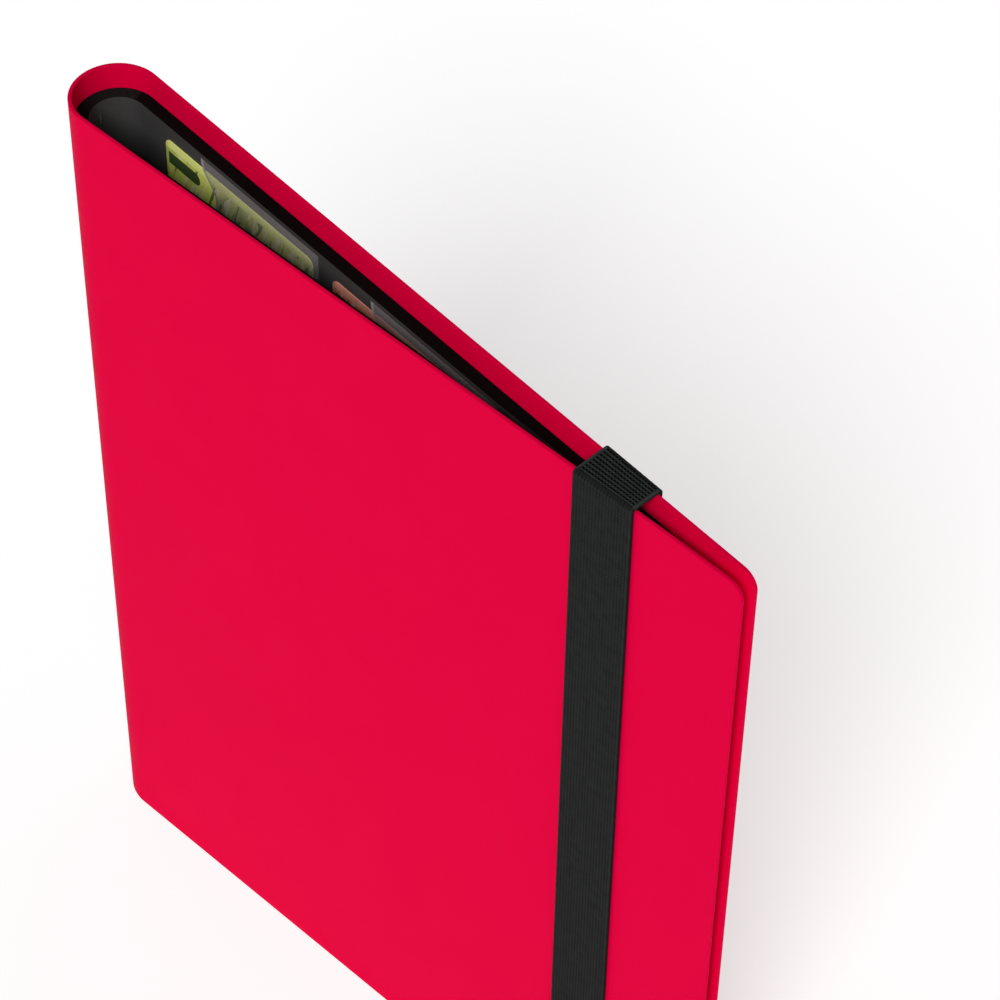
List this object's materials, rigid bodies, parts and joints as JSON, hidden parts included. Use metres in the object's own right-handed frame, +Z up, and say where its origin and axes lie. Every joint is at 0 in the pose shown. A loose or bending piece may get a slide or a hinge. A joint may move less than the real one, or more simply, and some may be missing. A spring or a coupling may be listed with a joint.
{
  "type": "trading card binder",
  "caption": "Slim portfolio binder with a flexible red cover, folded black pocket leaves, clear side-loading pockets holding cards and an elastic strap that keeps it shut.",
  "frame": {"origin": "centre of the footprint, on the surface the closed binder stands on", "axes": "+Z up along the binder's height, +X from the spine to the fore-edge, the front cover faces -Y"},
  "size_m": [0.2498, 0.0264, 0.3044],
  "materials": {
    "cover_red": "satin",
    "page_black": "matte",
    "pocket_film": "gloss",
    "card_stock": "satin",
    "thread": "matte",
    "elastic": "matte"
  },
  "bodies": {
    "cover_back": {"cover_back": "cover_red", "strap_tab_top": "elastic", "strap_tab_bottom": "elastic"},
    "spine_1": {"spine_1": "cover_red", "fold_1": "page_black"},
    "spine_2": {"spine_2": "cover_red", "fold_2": "page_black"},
    "spine_3": {"spine_3": "cover_red", "fold_3": "page_black", "seam_thread": "thread"},
    "spine_4": {"spine_4": "cover_red", "fold_4": "page_black"},
    "spine_5": {"spine_5": "cover_red", "fold_5": "page_black"},
    "cover_front": {"cover_front": "cover_red"},
    "leaf_01": {"leaf_01": "page_black"},
    "leaf_02": {"leaf_02": "page_black"},
    "leaf_03": {"leaf_03": "page_black"},
    "leaf_04": {"leaf_04": "page_black"},
    "leaf_05": {"leaf_05": "page_black"},
    "leaf_06": {"leaf_06": "page_black"},
    "leaf_07": {"leaf_07": "page_black"},
    "leaf_08": {"leaf_08": "page_black"},
    "leaf_09": {"leaf_09": "page_black"},
    "leaf_10": {"leaf_10": "page_black", "film_front": "pocket_film"},
    "leaf_11": {"leaf_11": "page_black", "film_back": "pocket_film", "card_1": "card_stock", "card_2": "card_stock", "card_3": "card_stock", "card_4": "card_stock", "card_5": "card_stock", "card_6": "card_stock", "card_7": "card_stock", "card_8": "card_stock", "card_9": "card_stock"},
    "leaf_12": {"leaf_12": "page_black"},
    "leaf_13": {"leaf_13": "page_black"},
    "leaf_14": {"leaf_14": "page_black"},
    "leaf_15": {"leaf_15": "page_black"},
    "leaf_16": {"leaf_16": "page_black"},
    "leaf_17": {"leaf_17": "page_black"},
    "leaf_18": {"leaf_18": "page_black"},
    "leaf_19": {"leaf_19": "page_black"},
    "leaf_20": {"leaf_20": "page_black"},
    "strap": {"strap_run": "elastic", "strap_bridge_top": "elastic", "strap_bridge_bottom": "elastic"}
  },
  "joints": [
    {"name": "open", "type": "hinge", "parent": "cover_back", "child": "spine_1", "pos_m": [-0.11112, 0.01319, 0.1522], "axis": [0, 0, -1], "range_deg": [0, 30]},
    {"name": "spine_fold_2", "type": "hinge", "parent": "spine_1", "child": "spine_2", "pos_m": [-0.11917, 0.01088, 0.1522], "axis": [0, 0, -1], "range_deg": [0, 30]},
    {"name": "spine_fold_3", "type": "hinge", "parent": "spine_2", "child": "spine_3", "pos_m": [-0.12422, 0.00419, 0.1522], "axis": [0, 0, -1], "range_deg": [0, 30]},
    {"name": "spine_fold_4", "type": "hinge", "parent": "spine_3", "child": "spine_4", "pos_m": [-0.12422, -0.00419, 0.1522], "axis": [0, 0, -1], "range_deg": [0, 30]},
    {"name": "spine_fold_5", "type": "hinge", "parent": "spine_4", "child": "spine_5", "pos_m": [-0.11917, -0.01088, 0.1522], "axis": [0, 0, -1], "range_deg": [0, 30]},
    {"name": "spine_fold_6", "type": "hinge", "parent": "spine_5", "child": "cover_front", "pos_m": [-0.11112, -0.01319, 0.1522], "axis": [0, 0, -1], "range_deg": [0, 30]},
    {"name": "turn_01", "type": "hinge", "parent": "spine_5", "child": "leaf_01", "pos_m": [-0.11079, -0.01158, 0.1522], "axis": [0, 0, -1], "range_deg": [0, 28]},
    {"name": "turn_02", "type": "hinge", "parent": "spine_5", "child": "leaf_02", "pos_m": [-0.1108, -0.0112, 0.1522], "axis": [0, 0, -1], "range_deg": [0, 25.2]},
    {"name": "turn_03", "type": "hinge", "parent": "spine_5", "child": "leaf_03", "pos_m": [-0.11082, -0.01082, 0.1522], "axis": [0, 0, -1], "range_deg": [0, 22.4]},
    {"name": "turn_04", "type": "hinge", "parent": "spine_5", "child": "leaf_04", "pos_m": [-0.11084, -0.01044, 0.1522], "axis": [0, 0, -1], "range_deg": [0, 19.6]},
    {"name": "turn_05", "type": "hinge", "parent": "spine_5", "child": "leaf_05", "pos_m": [-0.11085, -0.01006, 0.1522], "axis": [0, 0, -1], "range_deg": [0, 16.8]},
    {"name": "turn_06", "type": "hinge", "parent": "spine_5", "child": "leaf_06", "pos_m": [-0.11087, -0.00968, 0.1522], "axis": [0, 0, -1], "range_deg": [0, 14]},
    {"name": "turn_07", "type": "hinge", "parent": "spine_5", "child": "leaf_07", "pos_m": [-0.11089, -0.0093, 0.1522], "axis": [0, 0, -1], "range_deg": [0, 11.2]},
    {"name": "turn_08", "type": "hinge", "parent": "spine_5", "child": "leaf_08", "pos_m": [-0.11091, -0.00892, 0.1522], "axis": [0, 0, -1], "range_deg": [0, 8.4]},
    {"name": "turn_09", "type": "hinge", "parent": "spine_5", "child": "leaf_09", "pos_m": [-0.11092, -0.00854, 0.1522], "axis": [0, 0, -1], "range_deg": [0, 5.6]},
    {"name": "turn_10", "type": "hinge", "parent": "spine_5", "child": "leaf_10", "pos_m": [-0.11094, -0.00816, 0.1522], "axis": [0, 0, -1], "range_deg": [0, 2.8]},
    {"name": "turn_11", "type": "hinge", "parent": "spine_1", "child": "leaf_11", "pos_m": [-0.11094, 0.00816, 0.1522], "axis": [0, 0, -1], "range_deg": [-2.8, 0]},
    {"name": "turn_12", "type": "hinge", "parent": "spine_1", "child": "leaf_12", "pos_m": [-0.11092, 0.00854, 0.1522], "axis": [0, 0, -1], "range_deg": [-5.6, 0]},
    {"name": "turn_13", "type": "hinge", "parent": "spine_1", "child": "leaf_13", "pos_m": [-0.11091, 0.00892, 0.1522], "axis": [0, 0, -1], "range_deg": [-8.4, 0]},
    {"name": "turn_14", "type": "hinge", "parent": "spine_1", "child": "leaf_14", "pos_m": [-0.11089, 0.0093, 0.1522], "axis": [0, 0, -1], "range_deg": [-11.2, 0]},
    {"name": "turn_15", "type": "hinge", "parent": "spine_1", "child": "leaf_15", "pos_m": [-0.11087, 0.00968, 0.1522], "axis": [0, 0, -1], "range_deg": [-14, 0]},
    {"name": "turn_16", "type": "hinge", "parent": "spine_1", "child": "leaf_16", "pos_m": [-0.11085, 0.01006, 0.1522], "axis": [0, 0, -1], "range_deg": [-16.8, 0]},
    {"name": "turn_17", "type": "hinge", "parent": "spine_1", "child": "leaf_17", "pos_m": [-0.11084, 0.01044, 0.1522], "axis": [0, 0, -1], "range_deg": [-19.6, 0]},
    {"name": "turn_18", "type": "hinge", "parent": "spine_1", "child": "leaf_18", "pos_m": [-0.11082, 0.01082, 0.1522], "axis": [0, 0, -1], "range_deg": [-22.4, 0]},
    {"name": "turn_19", "type": "hinge", "parent": "spine_1", "child": "leaf_19", "pos_m": [-0.1108, 0.0112, 0.1522], "axis": [0, 0, -1], "range_deg": [-25.2, 0]},
    {"name": "turn_20", "type": "hinge", "parent": "spine_1", "child": "leaf_20", "pos_m": [-0.11079, 0.01158, 0.1522], "axis": [0, 0, -1], "range_deg": [-28, 0]},
    {"name": "strap_off", "type": "slide", "parent": "cover_back", "child": "strap", "axis": [0, 1, 0], "range_m": [0, 0.01301], "deforming": ["strap_run", "strap_bridge_top", "strap_bridge_bottom"]}
  ],
  "couplings": [
    {"joint": "spine_fold_2", "follows": "open", "ratio": 1},
    {"joint": "spine_fold_3", "follows": "open", "ratio": 1},
    {"joint": "spine_fold_4", "follows": "open", "ratio": 1},
    {"joint": "spine_fold_5", "follows": "open", "ratio": 1},
    {"joint": "spine_fold_6", "follows": "open", "ratio": 1},
    {"joint": "strap_off", "follows": "open", "m_per_rad": 0.024809},
    {"joint": "turn_01", "follows": "open", "ratio": 0.93333},
    {"joint": "turn_02", "follows": "open", "ratio": 0.84},
    {"joint": "turn_03", "follows": "open", "ratio": 0.74667},
    {"joint": "turn_04", "follows": "open", "ratio": 0.65333},
    {"joint": "turn_05", "follows": "open", "ratio": 0.56},
    {"joint": "turn_06", "follows": "open", "ratio": 0.46667},
    {"joint": "turn_07", "follows": "open", "ratio": 0.37333},
    {"joint": "turn_08", "follows": "open", "ratio": 0.28},
    {"joint": "turn_09", "follows": "open", "ratio": 0.18667},
    {"joint": "turn_10", "follows": "open", "ratio": 0.093333},
    {"joint": "turn_11", "follows": "open", "ratio": -0.093333},
    {"joint": "turn_12", "follows": "open", "ratio": -0.18667},
    {"joint": "turn_13", "follows": "open", "ratio": -0.28},
    {"joint": "turn_14", "follows": "open", "ratio": -0.37333},
    {"joint": "turn_15", "follows": "open", "ratio": -0.46667},
    {"joint": "turn_16", "follows": "open", "ratio": -0.56},
    {"joint": "turn_17", "follows": "open", "ratio": -0.65333},
    {"joint": "turn_18", "follows": "open", "ratio": -0.74667},
    {"joint": "turn_19", "follows": "open", "ratio": -0.84},
    {"joint": "turn_20", "follows": "open", "ratio": -0.93333}
  ]
}
